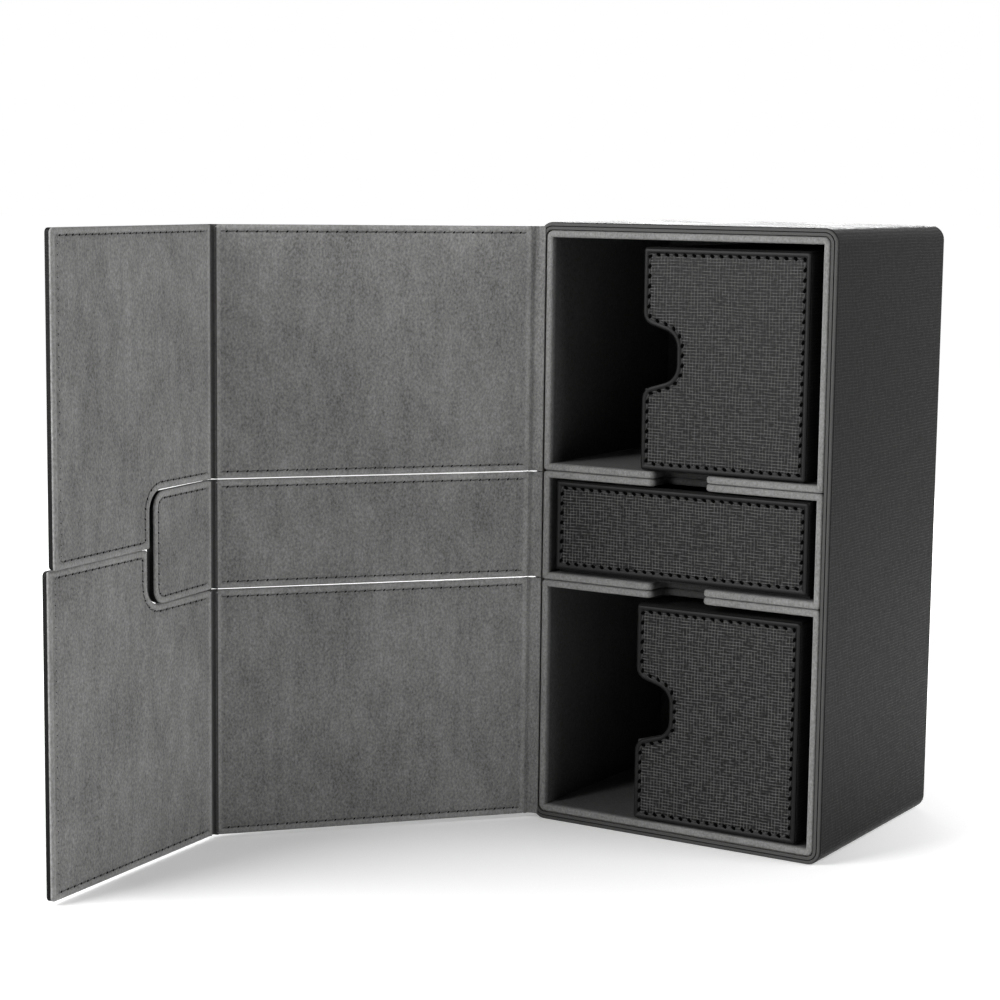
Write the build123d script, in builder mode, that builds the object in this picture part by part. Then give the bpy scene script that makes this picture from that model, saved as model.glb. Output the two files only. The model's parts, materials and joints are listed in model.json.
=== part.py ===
"""Double deck box with a drawer, standing on its short end with the opening towards -Y.

A leather-covered board shell holds three suede liner boxes: a deck bay above, a drawer bay in
the middle and a deck bay below. Three lids hinge on the left front edge. Each one has a panel
that covers the opening and a flap that folds round the right wall, where magnets hold it. The
middle flap is a rounded tongue that lies in a notch cut into the other two. Each deck bay holds
a half-height tray with a thumb notch, and finger notches in the dividers reach the drawer.

Millimetres, +Z up. The origin is the centre of the box's bottom face, on the table.
"""

from build123d import *

import os
from math import cos, radians, sin

os.makedirs("parts", exist_ok=True)

# ---------------------------------------------------------------- driving dimensions
# Shell
box_width = 111.0  # across the opening
box_depth = 91.0  # opening to back
box_height = 209.0
shell_board = 2.0
leather = 0.6
shell_corner = 5.0  # rounding of the four edges that run front to back
shell_back_edge = 1.5
rim_outer_edge = 0.7
rim_inner_edge = 0.25
rim_groove_inset = 1.2  # from the outer face to the groove between the two leather folds
rim_groove_width = 0.35
rim_groove_depth = 0.4

# Liner boxes
liner_wall = 2.4  # board with its suede
liner_fit = 0.2  # between a liner and the shell, and between two liners
liner_edge = 0.9  # rounding of the rims and of the finger notches
liner_corner = 1.2  # where a liner's corner meets the next liner
drawer_bay_height = 33.2
finger_notch_half = 9.7
finger_notch_depth = 9.5
finger_notch_corner = 2.0
finger_notch_lip = 2.5

# Deck trays
tray_length = 61.0  # how much of the card's length the tray covers
tray_wall = 2.0
tray_lining = 0.6
tray_edge = 1.4
tray_side_gap = 4.1  # to the right wall of the bay
tray_floor_gap = 0.3
tray_top_gap = 2.4
tray_recess = 1.0  # front of the tray behind the rim
tray_back_gap = 0.6
thumb_notch_mouth = 11.3  # half its width at the edge
thumb_notch_end = 7.4  # half its width at the bottom
thumb_notch_depth = 12.9
thumb_notch_corner = 6.0
thumb_notch_lip = 4.5
thumb_notch_lift = 1.2  # above the middle of the tray

# Drawer
drawer_side_gap = 2.4
drawer_floor_gap = 0.3
drawer_top_gap = 0.7
drawer_recess = 1.0
drawer_back_gap = 0.6
drawer_front_thickness = 3.0
drawer_front_edge = 1.0
drawer_front_lift = 1.0  # keeps the bottom of the front off the suede
drawer_wall = 1.6
drawer_lining = 0.8
drawer_side_drop = 4.0  # how far the sides stay below the front
drawer_body_inset = 0.4  # how far the sides stay inside the front

# Lids and flaps
lid_board = 1.1
lid_lining = 0.8
lining_edge = 0.3
lid_clearance = 0.3  # lining to rim when closed
lid_margin = 1.5  # below the top of the box and above the table
lid_split = 0.5  # gap between neighbouring lids
lid_corner = 1.0
middle_lid_height = 36.6
hinge_radius = 0.8
hinge_web = 1.2
panel_setback = 1.5  # board edge to fold line
flap_setback = 1.3
flap_end_margin = 3.6  # free end to the back of the box when closed
flap_corner = 1.5
tongue_length = 36.0  # fold line to the end of the tongue
tongue_corner = 5.5
tongue_gap = 1.4  # tongue end to the notch, so that each lid swings past the others

# Magnets
magnet_radius = 5.0
magnet_thickness = 1.0
magnet_play = 0.1
flap_magnet_inset = 14.0  # magnet centre to the flap's free end
tongue_magnet_inset = 10.0
flap_magnet_spread = 0.5  # share of the lid height between a flap's two magnets

# How far the lids and flaps stand open, in degrees from closed
lid_angle = 130.6
flap_angle = {"upper": 42.9, "middle": 41.2, "lower": 44.5}

# ---------------------------------------------------------------- worked-out places
front_y = -box_depth / 2
back_y = box_depth / 2
front_plane = Plane.XZ.offset(-front_y)  # looks towards -Y

shell_wall = shell_board + leather
bay_width = box_width - 2 * (shell_wall + liner_fit + liner_wall)
liner_width = bay_width + 2 * liner_wall
liner_depth = box_depth - shell_wall - liner_fit
liner_back_y = front_y + liner_depth
bay_back_y = liner_back_y - liner_wall
bay_right_x = bay_width / 2

drawer_liner_height = drawer_bay_height + 2 * liner_wall
deck_liner_height = (box_height - 2 * shell_wall - 4 * liner_fit - drawer_liner_height) / 2
liner_low = {
    "lower": shell_wall + liner_fit,
    "drawer": shell_wall + 2 * liner_fit + deck_liner_height,
    "upper": shell_wall + 3 * liner_fit + deck_liner_height + drawer_liner_height,
}
bay_floor = {name: low + liner_wall for name, low in liner_low.items()}

hinge_offset = hinge_radius  # fold lines stand this far off the box's corners
lining_face = hinge_offset - lid_clearance  # from the fold line to the lining's face
board_face = lid_lining - lining_face
leather_face = board_face + lid_board
outer_face = leather_face + leather
panel_span = box_width + 2 * hinge_offset  # fold line to fold line
flap_reach = hinge_offset + box_depth - flap_end_margin
spine_line = (-box_width / 2 - hinge_offset, front_y - hinge_offset)

middle_height = box_height / 2
split_low = middle_height - middle_lid_height / 2
split_high = middle_height + middle_lid_height / 2
lid_span = {
    "lower": (lid_margin, split_low - lid_split),
    "middle": (split_low, split_high),
    "upper": (split_high + lid_split, box_height - lid_margin),
}
flap_magnet_u = flap_reach - flap_magnet_inset
tongue_magnet_u = tongue_length - tongue_magnet_inset


def flap_magnet_places(name):
    """Centres of a flap's magnets: distance from the fold line and height."""
    low, high = lid_span[name]
    centre = (low + high) / 2
    if name == "middle":
        return [(tongue_magnet_u, centre)]
    half = flap_magnet_spread * (high - low) / 2
    return [(flap_magnet_u, centre - half), (flap_magnet_u, centre + half)]


def leaf_plane(pivot, heading):
    """Plane of a lid or flap: x away from its fold line, y up, z towards its leather side."""
    turn = radians(heading)
    return Plane(
        origin=(pivot[0], pivot[1], 0),
        x_dir=(cos(turn), sin(turn), 0),
        z_dir=(sin(turn), -cos(turn), 0),
    )


def write_part(builder, name):
    """Labels a finished piece and writes it under its own name."""
    builder.part.label = name
    export_step(builder.part, f"parts/{name}.step")


def notch_outline(plane, half_mouth, half_end, depth, corner, lip):
    """Notch in an edge: the edge lies along y through the origin, and x runs into it.

    Two flanks run to a flat end with rounded corners, and turn into the edge on rounded lips.
    """
    with BuildSketch(plane) as notch:
        Polygon((0, -half_mouth), (depth, -half_end), (depth, half_end), (0, half_mouth), align=None)
        fillet(notch.vertices().group_by(Axis.X)[-1], corner)
        with Locations((-lip, 0)):
            Rectangle(2 * lip, 2 * (half_mouth + 2 * lip))
        on_the_edge = notch.vertices().group_by(Axis.X)[1]
        fillet(on_the_edge.sort_by(Axis.Y)[1:-1], lip)
    return notch.sketch


# ---------------------------------------------------------------- shell and its magnets
def shell_outline(inset):
    """The shell seen from the front, drawn in by the inset."""
    with BuildSketch(front_plane) as outline:
        with Locations((0, middle_height)):
            RectangleRounded(box_width - 2 * inset, box_height - 2 * inset, shell_corner - inset)
    return outline.sketch


with BuildPart() as shell_cover:
    extrude(shell_outline(0), amount=-box_depth)
    fillet(shell_cover.faces().sort_by(Axis.Y)[-1].edges(), shell_back_edge)
    fillet(shell_cover.faces().sort_by(Axis.Y)[0].edges(), rim_outer_edge)
    extrude(shell_outline(shell_wall), amount=-(box_depth - leather), mode=Mode.SUBTRACT)
    fillet(shell_cover.faces().sort_by(Axis.Y)[0].inner_wires()[0].edges(), rim_inner_edge)
    # The leather's two folds on the rim, with a groove between them
    with BuildSketch(front_plane):
        add(shell_outline(rim_groove_inset))
        add(shell_outline(rim_groove_inset + rim_groove_width), mode=Mode.SUBTRACT)
    extrude(amount=-rim_groove_depth, mode=Mode.SUBTRACT)
    # Room for the board behind the rim
    with BuildSketch(front_plane.offset(-leather)):
        add(shell_outline(leather))
    extrude(amount=-(box_depth - 2 * leather), mode=Mode.SUBTRACT)
write_part(shell_cover, "shell_cover")

# Looks at the right wall from inside, with the fold line at the start of x
right_wall_inside = Plane(
    origin=(box_width / 2 - shell_wall, front_y - hinge_offset, 0), x_dir=(0, 1, 0), z_dir=(1, 0, 0)
)

with BuildPart() as shell_board_box:
    board_front = front_plane.offset(-leather)
    with BuildSketch(board_front):
        add(shell_outline(leather))
    extrude(amount=-(box_depth - 2 * leather))
    fillet(shell_board_box.faces().sort_by(Axis.Y)[-1].edges(), shell_back_edge - leather)
    with BuildSketch(board_front):
        add(shell_outline(shell_wall))
    extrude(amount=-(box_depth - leather - shell_wall), mode=Mode.SUBTRACT)
    with BuildSketch(right_wall_inside):
        for flap_name in lid_span:
            with Locations(*flap_magnet_places(flap_name)):
                Circle(magnet_radius + magnet_play)
    extrude(amount=magnet_thickness + magnet_play, mode=Mode.SUBTRACT)
write_part(shell_board_box, "shell_board")

with BuildPart() as shell_magnets:
    with BuildSketch(right_wall_inside):
        for flap_name in lid_span:
            with Locations(*flap_magnet_places(flap_name)):
                Circle(magnet_radius)
    extrude(amount=magnet_thickness)
write_part(shell_magnets, "shell_magnets")


# ---------------------------------------------------------------- liner boxes
def make_liner(low, height, shell_ends, notched_ends):
    """Suede liner box, open towards -Y. Ends are +1 for its top wall and -1 for its bottom one."""
    centre = low + height / 2
    with BuildPart() as liner:
        with BuildSketch(front_plane) as outside:
            with Locations((0, centre)):
                Rectangle(liner_width, height)
            low_corner, high_corner = (
                shell_corner - shell_wall if end in shell_ends else liner_corner for end in (-1, 1)
            )
            fillet(outside.vertices().sort_by(Axis.Y)[:2], low_corner)
            fillet(outside.vertices().sort_by(Axis.Y)[-2:], high_corner)
        extrude(amount=-liner_depth)
        with BuildSketch(front_plane):
            with Locations((0, centre)):
                Rectangle(bay_width, height - 2 * liner_wall)
        extrude(amount=-(liner_depth - liner_wall), mode=Mode.SUBTRACT)
        for end in notched_ends:
            wall_middle = centre + end * (height - liner_wall) / 2
            notch = notch_outline(
                Plane(origin=(0, front_y, wall_middle), x_dir=(0, 1, 0), z_dir=(0, 0, 1)),
                finger_notch_half,
                finger_notch_half,
                finger_notch_depth,
                finger_notch_corner,
                finger_notch_lip,
            )
            extrude(notch, amount=liner_wall, both=True, mode=Mode.SUBTRACT)
        # The suede turns over the whole rim and round the notches
        rim = liner.edges().filter_by_position(Axis.Y, front_y, front_y + finger_notch_depth)
        notch_reach = finger_notch_half + finger_notch_lip
        across_the_wall = rim.filter_by(Axis.Z).filter_by_position(Axis.X, -notch_reach, notch_reach)
        fillet(rim - across_the_wall, liner_edge)
    return liner


liners = {
    "deck_liner_upper": make_liner(liner_low["upper"], deck_liner_height, [1], [-1]),
    "drawer_liner": make_liner(liner_low["drawer"], drawer_liner_height, [], [1, -1]),
    "deck_liner_lower": make_liner(liner_low["lower"], deck_liner_height, [-1], [1]),
}
for node, liner_box in liners.items():
    write_part(liner_box, node)

# ---------------------------------------------------------------- deck trays
tray_right_x = bay_right_x - tray_side_gap
tray_left_x = tray_right_x - tray_length
tray_front_y = front_y + tray_recess
tray_depth = bay_back_y - tray_back_gap - tray_front_y
tray_height = deck_liner_height - 2 * liner_wall - tray_floor_gap - tray_top_gap
tray_front = Plane.XZ.offset(-tray_front_y)


def make_tray(floor_z):
    """Leather tray, open to the left, with a thumb notch in the free edge of its front."""
    centre = (tray_left_x + tray_length / 2, floor_z + tray_height / 2)
    with BuildPart() as tray:
        with BuildSketch(tray_front):
            with Locations(centre):
                Rectangle(tray_length, tray_height)
        extrude(amount=-tray_depth)
        fillet(tray.edges().filter_by(Axis.X), tray_edge)
        fillet(tray.faces().sort_by(Axis.X)[-1].edges(), tray_edge)
        with BuildSketch(Plane.YZ.offset(tray_left_x)):
            with Locations((tray_front_y + tray_depth / 2, centre[1])):
                Rectangle(tray_depth - 2 * tray_wall, tray_height - 2 * tray_wall)
        extrude(amount=tray_length - tray_wall, mode=Mode.SUBTRACT)
        cut_thumb_notch(centre[1], tray_wall)
    return tray


def make_tray_lining(floor_z):
    """Suede skin inside a tray, with the same notch."""
    height = floor_z + tray_height / 2
    with BuildPart() as lining:
        with BuildSketch(Plane.YZ.offset(tray_left_x)):
            with Locations((tray_front_y + tray_depth / 2, height)):
                Rectangle(tray_depth - 2 * tray_wall, tray_height - 2 * tray_wall)
        extrude(amount=tray_length - tray_wall)
        skin = tray_wall + tray_lining
        with BuildSketch(Plane.YZ.offset(tray_left_x)):
            with Locations((tray_front_y + tray_depth / 2, height)):
                Rectangle(tray_depth - 2 * skin, tray_height - 2 * skin)
        extrude(amount=tray_length - skin, mode=Mode.SUBTRACT)
        cut_thumb_notch(height, skin)
    return lining


def cut_thumb_notch(tray_middle, thickness):
    """Cuts the thumb notch through the front of the tray that is being built."""
    at_edge = (tray_left_x, tray_front_y, tray_middle + thumb_notch_lift)
    notch = notch_outline(
        Plane(origin=at_edge, x_dir=(1, 0, 0), z_dir=(0, 1, 0)),
        thumb_notch_mouth,
        thumb_notch_end,
        thumb_notch_depth,
        thumb_notch_corner,
        thumb_notch_lip,
    )
    extrude(notch, amount=thickness, mode=Mode.SUBTRACT)


for level in ("upper", "lower"):
    tray_floor = bay_floor[level] + tray_floor_gap
    write_part(make_tray(tray_floor), f"deck_tray_{level}")
    write_part(make_tray_lining(tray_floor), f"deck_tray_lining_{level}")

# ---------------------------------------------------------------- drawer
drawer_width = bay_width - 2 * drawer_side_gap
drawer_low = bay_floor["drawer"] + drawer_floor_gap
drawer_front_height = drawer_bay_height - drawer_floor_gap - drawer_front_lift - drawer_top_gap
drawer_front_y = front_y + drawer_recess
drawer_body_y = drawer_front_y + drawer_front_thickness
drawer_body_depth = bay_back_y - drawer_back_gap - drawer_body_y
drawer_body_width = drawer_width - 2 * drawer_body_inset
drawer_body_height = drawer_front_lift + drawer_front_height - drawer_side_drop
front_middle = drawer_low + drawer_front_lift + drawer_front_height / 2
body_middle = drawer_low + drawer_body_height / 2
drawer_face = Plane.XZ.offset(-drawer_front_y)

with BuildPart() as drawer_front_cover:
    with BuildSketch(drawer_face):
        with Locations((0, front_middle)):
            Rectangle(drawer_width, drawer_front_height)
    extrude(amount=-drawer_front_thickness)
    fillet(drawer_front_cover.faces().sort_by(Axis.Y)[0].edges(), drawer_front_edge)
    with BuildSketch(drawer_face.offset(-leather)):
        with Locations((0, front_middle)):
            Rectangle(drawer_width - 2 * leather, drawer_front_height - 2 * leather)
    extrude(amount=-drawer_front_thickness, mode=Mode.SUBTRACT)
write_part(drawer_front_cover, "drawer_front_cover")

with BuildPart() as drawer_front_board:
    with BuildSketch(drawer_face.offset(-leather)):
        with Locations((0, front_middle)):
            Rectangle(drawer_width - 2 * leather, drawer_front_height - 2 * leather)
    extrude(amount=-(drawer_front_thickness - leather))
write_part(drawer_front_board, "drawer_front_board")

with BuildPart() as drawer_tray:
    with BuildSketch(Plane.XY.offset(drawer_low)):
        with Locations((0, drawer_body_y + drawer_body_depth / 2)):
            Rectangle(drawer_body_width, drawer_body_depth)
    extrude(amount=drawer_body_height)
    with BuildSketch(Plane.XY.offset(drawer_low + drawer_wall)):
        with Locations((0, drawer_body_y + drawer_body_depth / 2)):
            Rectangle(drawer_body_width - 2 * drawer_wall, drawer_body_depth - 2 * drawer_wall)
    extrude(amount=drawer_body_height, mode=Mode.SUBTRACT)
write_part(drawer_tray, "drawer_tray")

with BuildPart() as drawer_lining_skin:
    with BuildSketch(Plane.XY.offset(drawer_low + drawer_wall)):
        with Locations((0, drawer_body_y + drawer_body_depth / 2)):
            Rectangle(drawer_body_width - 2 * drawer_wall, drawer_body_depth - 2 * drawer_wall)
    extrude(amount=drawer_body_height - drawer_wall)
    lined = drawer_wall + drawer_lining
    with BuildSketch(Plane.XY.offset(drawer_low + lined)):
        with Locations((0, drawer_body_y + drawer_body_depth / 2)):
            Rectangle(drawer_body_width - 2 * lined, drawer_body_depth - 2 * lined)
    extrude(amount=drawer_body_height, mode=Mode.SUBTRACT)
write_part(drawer_lining_skin, "drawer_lining")


# ---------------------------------------------------------------- lids and flaps
def panel_outline(plane, name, inset):
    """Outline of a lid's panel, between its two fold lines."""
    low, high = lid_span[name]
    with BuildSketch(plane) as outline:
        with Locations((panel_span / 2, (low + high) / 2)):
            RectangleRounded(
                panel_span - 2 * (panel_setback + inset), high - low - 2 * inset, lid_corner - inset / 2
            )
    return outline.sketch


def flap_outline(plane, name, inset):
    """Outline of a flap: a tongue in the middle, and above and below it a panel notched for it."""
    low, high = lid_span[name]
    with BuildSketch(plane) as outline:
        if name == "middle":
            with Locations(((flap_setback + tongue_length) / 2, (low + high) / 2)):
                Rectangle(tongue_length - flap_setback, high - low)
            fillet(outline.vertices().sort_by(Axis.X)[-2:], tongue_corner)
        else:
            # The flap reaches past its own lid, to meet the other flap at mid height
            if name == "upper":
                outer_end, notch_end, inner_end = high, low, middle_height + lid_split / 2
                to_split = -Axis.Y
            else:
                outer_end, notch_end, inner_end = low, high, middle_height - lid_split / 2
                to_split = Axis.Y
            notch_reach = tongue_length + tongue_gap
            with Locations(((flap_setback + flap_reach) / 2, (inner_end + outer_end) / 2)):
                Rectangle(flap_reach - flap_setback, abs(outer_end - inner_end))
            with Locations(((flap_setback + notch_reach) / 2, (inner_end + notch_end) / 2)):
                Rectangle(notch_reach - flap_setback, abs(notch_end - inner_end), mode=Mode.SUBTRACT)
            at_notch = outline.vertices().group_by(Axis.X)[-2].sort_by(to_split)
            fillet(at_notch[0], tongue_corner + tongue_gap)
            at_notch = outline.vertices().group_by(Axis.X)[-2].sort_by(to_split)
            fillet(at_notch[-1], flap_corner)
            fillet(outline.vertices().group_by(Axis.X)[-1], flap_corner)
        if inset:
            offset(amount=-inset, kind=Kind.INTERSECTION)
    return outline.sketch


def make_leaf(outline, plane, name, prefix):
    """Leather cover, board and suede lining of one lid panel or flap."""
    magnets = flap_magnet_places(name) if prefix == "flap" else []
    with BuildPart() as cover:
        extrude(outline(plane.offset(board_face), name, 0), amount=lid_board + leather)
        fillet(cover.faces().sort_by(Axis(plane.origin, plane.z_dir))[-1].edges(), leather / 2)
        extrude(outline(plane.offset(board_face), name, leather), amount=lid_board, mode=Mode.SUBTRACT)
    write_part(cover, f"{prefix}_{name}_cover")

    with BuildPart() as board:
        extrude(outline(plane.offset(board_face), name, leather), amount=lid_board)
        if magnets:
            with BuildSketch(plane.offset(board_face)):
                with Locations(*magnets):
                    Circle(magnet_radius + magnet_play)
            extrude(amount=lid_board, mode=Mode.SUBTRACT)
    write_part(board, f"{prefix}_{name}_board")

    with BuildPart() as lining:
        extrude(outline(plane.offset(-lining_face), name, 0), amount=lid_lining)
        fillet(lining.faces().sort_by(Axis(plane.origin, plane.z_dir))[0].edges(), lining_edge)
    write_part(lining, f"{prefix}_{name}_lining")


def make_hinge(plane, name, start, end, bead, node):
    """Flexible strip along a fold line: a web on the lid's edge, and a bead on the line itself."""
    low, high = lid_span[name]
    across = Plane(origin=plane.origin, x_dir=plane.x_dir, z_dir=(0, 0, 1)).offset(low)
    with BuildPart() as hinge:
        with BuildSketch(across):
            with Locations((bead, 0)):
                Circle(hinge_radius)
            with Locations(((start + end) / 2, lining_face - hinge_web / 2)):
                Rectangle(abs(end - start), hinge_web)
        extrude(amount=high - low)
    write_part(hinge, node)


lid_plane = leaf_plane(spine_line, -lid_angle)
fold_line = lid_plane.from_local_coords((panel_span, 0, 0))
for name in lid_span:
    make_leaf(panel_outline, lid_plane, name, "lid")
    make_hinge(lid_plane, name, 0, panel_setback, 0, f"spine_hinge_{name}")
    make_hinge(lid_plane, name, panel_span - panel_setback, panel_span, panel_span, f"fold_hinge_{name}")

    flap_plane = leaf_plane((fold_line.X, fold_line.Y), 90 - lid_angle - flap_angle[name])
    make_leaf(flap_outline, flap_plane, name, "flap")
    with BuildPart() as magnets:
        with BuildSketch(flap_plane.offset(board_face + (lid_board - magnet_thickness) / 2)):
            with Locations(*flap_magnet_places(name)):
                Circle(magnet_radius)
        extrude(amount=magnet_thickness)
    write_part(magnets, f"flap_{name}_magnets")
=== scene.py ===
import json
import math

import bpy
from mathutils import Matrix, Vector


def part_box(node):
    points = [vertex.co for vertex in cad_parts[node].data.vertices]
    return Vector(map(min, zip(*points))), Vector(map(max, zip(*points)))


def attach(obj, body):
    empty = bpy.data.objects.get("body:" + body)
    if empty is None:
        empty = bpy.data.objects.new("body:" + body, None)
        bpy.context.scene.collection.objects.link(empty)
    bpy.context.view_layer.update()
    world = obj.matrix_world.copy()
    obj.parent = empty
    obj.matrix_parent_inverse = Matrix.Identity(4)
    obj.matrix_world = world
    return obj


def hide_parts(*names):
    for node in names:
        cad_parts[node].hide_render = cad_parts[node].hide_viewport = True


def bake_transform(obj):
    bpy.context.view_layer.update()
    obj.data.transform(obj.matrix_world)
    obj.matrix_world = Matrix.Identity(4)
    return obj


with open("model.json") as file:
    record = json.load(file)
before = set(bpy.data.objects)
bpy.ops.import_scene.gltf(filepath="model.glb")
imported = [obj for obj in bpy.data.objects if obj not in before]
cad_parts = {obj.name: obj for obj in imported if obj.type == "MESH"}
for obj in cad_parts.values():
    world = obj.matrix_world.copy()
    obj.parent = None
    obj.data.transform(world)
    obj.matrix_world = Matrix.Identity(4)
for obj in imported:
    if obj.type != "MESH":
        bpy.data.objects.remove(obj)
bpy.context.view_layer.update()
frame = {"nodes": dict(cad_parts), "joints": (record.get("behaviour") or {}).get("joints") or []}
scene = bpy.context.scene
MM = 0.001

# ------------------------------------------------------------------ places taken from the frame
joint = {j["name"]: j for j in frame["joints"]}
LEVELS = ("upper", "middle", "lower")
spine = Vector(joint["lid_upper_hinge"]["pos_m"])
fold = Vector(joint["flap_upper_fold"]["pos_m"])
lid_heading = math.atan2(fold.y - spine.y, fold.x - spine.x)
panel_span = (fold - spine).length
flap_heading = {
    level: lid_heading + math.pi / 2 + math.radians(joint[f"flap_{level}_fold"]["range_deg"][0])
    for level in LEVELS
}

LINING_BACK = 0.3 * MM  # the suede's back and the leather's outer face, measured from the fold line
LEATHER_FACE = 2.0 * MM
SEAM_INSET = 2.3 * MM  # stitches to the edge of a lid or flap
FRONT_SEAM = 2.05 * MM  # stitches to the edge of a leather front
STITCH_PITCH = 3.35 * MM


def leaf(pivot, heading):
    """Matrix of a lid or flap: x away from its fold line, y up, z towards its leather side."""
    c, s = math.cos(heading), math.sin(heading)
    return Matrix(((c, 0, s, pivot.x), (s, 0, -c, pivot.y), (0, 1, 0, 0), (0, 0, 0, 1)))


lid_leaf = leaf(spine, lid_heading)
flap_leaf = {level: leaf(fold, flap_heading[level]) for level in LEVELS}


# ------------------------------------------------------------------ modelling helpers
def drop_selection():
    if bpy.context.object and bpy.context.object.mode != "OBJECT":
        bpy.ops.object.mode_set(mode="OBJECT")
    bpy.ops.object.select_all(action="DESELECT")


def take(obj):
    drop_selection()
    obj.select_set(True)
    bpy.context.view_layer.objects.active = obj
    return obj


def apply_modifiers(obj):
    take(obj)
    for modifier in list(obj.modifiers):
        bpy.ops.object.modifier_apply(modifier=modifier.name)
    return obj


def settle(obj, place=None):
    """Puts a piece's place into its mesh, so that its object sits at the origin."""
    if place is not None:
        obj.matrix_world = place @ obj.matrix_world
    take(obj)
    bpy.ops.object.transform_apply(location=True, rotation=True, scale=True)
    return obj


def outward(obj):
    take(obj)
    bpy.ops.object.mode_set(mode="EDIT")
    bpy.ops.mesh.select_all(action="SELECT")
    bpy.ops.mesh.remove_doubles(threshold=0.001 * MM)
    bpy.ops.mesh.normals_make_consistent(inside=False)
    bpy.ops.object.mode_set(mode="OBJECT")
    return obj


def dress(obj, material):
    obj.data.materials.clear()
    obj.data.materials.append(material)
    return obj


# ------------------------------------------------------------------ shader groups
def group_sockets(group, inputs, outputs):
    for name, kind, value in inputs:
        socket = group.interface.new_socket(name, in_out="INPUT", socket_type=kind)
        socket.default_value = value
    for name, kind in outputs:
        group.interface.new_socket(name, in_out="OUTPUT", socket_type=kind)
    return group.nodes.new("NodeGroupInput"), group.nodes.new("NodeGroupOutput")


def ramp_between(tree, value, low, high, low_out=0.0, high_out=1.0):
    """Maps a value from one range to another, clamped."""
    node = tree.nodes.new("ShaderNodeMapRange")
    tree.links.new(value, node.inputs["Value"])
    node.inputs["From Min"].default_value = low
    node.inputs["From Max"].default_value = high
    node.inputs["To Min"].default_value = low_out
    node.inputs["To Max"].default_value = high_out
    return node.outputs["Result"]


def calculate(tree, operation, first, second=None, third=None):
    node = tree.nodes.new("ShaderNodeMath")
    node.operation = operation
    for socket, value in zip(node.inputs, (first, second, third)):
        if value is None:
            continue
        if isinstance(value, (int, float)):
            socket.default_value = value
        else:
            tree.links.new(value, socket)
    return node.outputs[0]


def tint(tree, colour, factor):
    """Multiplies a colour by a number that changes over the surface."""
    node = tree.nodes.new("ShaderNodeVectorMath")
    node.operation = "SCALE"
    tree.links.new(colour, node.inputs[0])
    tree.links.new(factor, node.inputs["Scale"])
    return node.outputs[0]


def stretched_noise(tree, vector, scale, detail, stretch):
    mapping = tree.nodes.new("ShaderNodeMapping")
    mapping.inputs["Scale"].default_value = stretch
    tree.links.new(vector, mapping.inputs["Vector"])
    noise = tree.nodes.new("ShaderNodeTexNoise")
    noise.inputs["Scale"].default_value = scale
    noise.inputs["Detail"].default_value = detail
    noise.inputs["Roughness"].default_value = 0.6
    tree.links.new(mapping.outputs[0], noise.inputs["Vector"])
    return noise.outputs["Fac"]


def about_zero(tree, noise):
    return calculate(tree, "SUBTRACT", noise, 0.5)


def border_mask(tree):
    """1 on the rolled border of a padded sheet, and 0 elsewhere."""
    mask = tree.nodes.new("ShaderNodeAttribute")
    mask.attribute_name = "border"
    return mask.outputs["Fac"]


PAINTED_RIM_LIGHT_FROM, PAINTED_RIM_LIGHT_TO = -45.2 * MM, -42.5 * MM  # y over which the bays' suede goes from painted light on its rim to painted shade inside
LEATHER_RIM_HIGHLIGHT = -45.48 * MM, -45.15 * MM  # y over which the shell's leather goes from a painted highlight on its front rim to its plain colour towards the groove


def make_suede_nap():
    """Short brushed nap: cloudy patches where it lies differently, over a fine speckle. A rolled border can
    be painted lighter as a painted highlight, and a bay's rim lighter as painted light over the painted
    shade inside.
    """
    group = bpy.data.node_groups.new("suede nap", "ShaderNodeTree")
    enter, leave = group_sockets(
        group,
        [("Colour", "NodeSocketColor", (0.1, 0.1, 0.1, 1)), ("Patches", "NodeSocketFloat", 0.2),
         ("Speckle", "NodeSocketFloat", 0.3), ("Painted border highlight", "NodeSocketFloat", 0.0),
         ("Painted rim light", "NodeSocketFloat", 0.0)],
        [("Colour", "NodeSocketColor"), ("Roughness", "NodeSocketFloat"), ("Height", "NodeSocketFloat")],
    )
    where = group.nodes.new("ShaderNodeTexCoord").outputs["Object"]
    cloud = stretched_noise(group, where, 38, 3, (1, 1, 0.6))
    brush = stretched_noise(group, where, 220, 3, (1, 1, 0.35))
    fibre = stretched_noise(group, where, 1500, 2, (1, 1, 0.7))
    patches = calculate(group, "MULTIPLY_ADD", about_zero(group, cloud), enter.outputs["Patches"], 1.0)
    marks = calculate(group, "MULTIPLY", about_zero(group, brush), enter.outputs["Patches"])
    speck = calculate(group, "MULTIPLY", about_zero(group, fibre), enter.outputs["Speckle"])
    level = calculate(group, "ADD", calculate(group, "ADD", patches, marks), speck)
    # Painted highlight: the rolled border is painted lighter, as if catching the light
    level = calculate(group, "MULTIPLY_ADD", border_mask(group), enter.outputs["Painted border highlight"], level)
    split = group.nodes.new("ShaderNodeSeparateXYZ")
    group.links.new(where, split.inputs[0])
    # Painted light and shade: the suede is painted lighter on a bay's front rim, falling to its darker
    # painted shade inside
    rim = ramp_between(group, split.outputs["Y"], PAINTED_RIM_LIGHT_FROM, PAINTED_RIM_LIGHT_TO, 1.0, 0.0)
    painted_rim_light_gain = calculate(group, "MULTIPLY_ADD", rim, enter.outputs["Painted rim light"], 1.0)
    level = calculate(group, "MULTIPLY", level, painted_rim_light_gain)
    group.links.new(tint(group, enter.outputs["Colour"], level), leave.inputs["Colour"])
    group.links.new(ramp_between(group, brush, 0.3, 0.7, 0.82, 0.95), leave.inputs["Roughness"])
    height = calculate(group, "MULTIPLY_ADD", fibre, 0.6, calculate(group, "MULTIPLY", brush, 0.4))
    group.links.new(height, leave.inputs["Height"])
    return group


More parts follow.
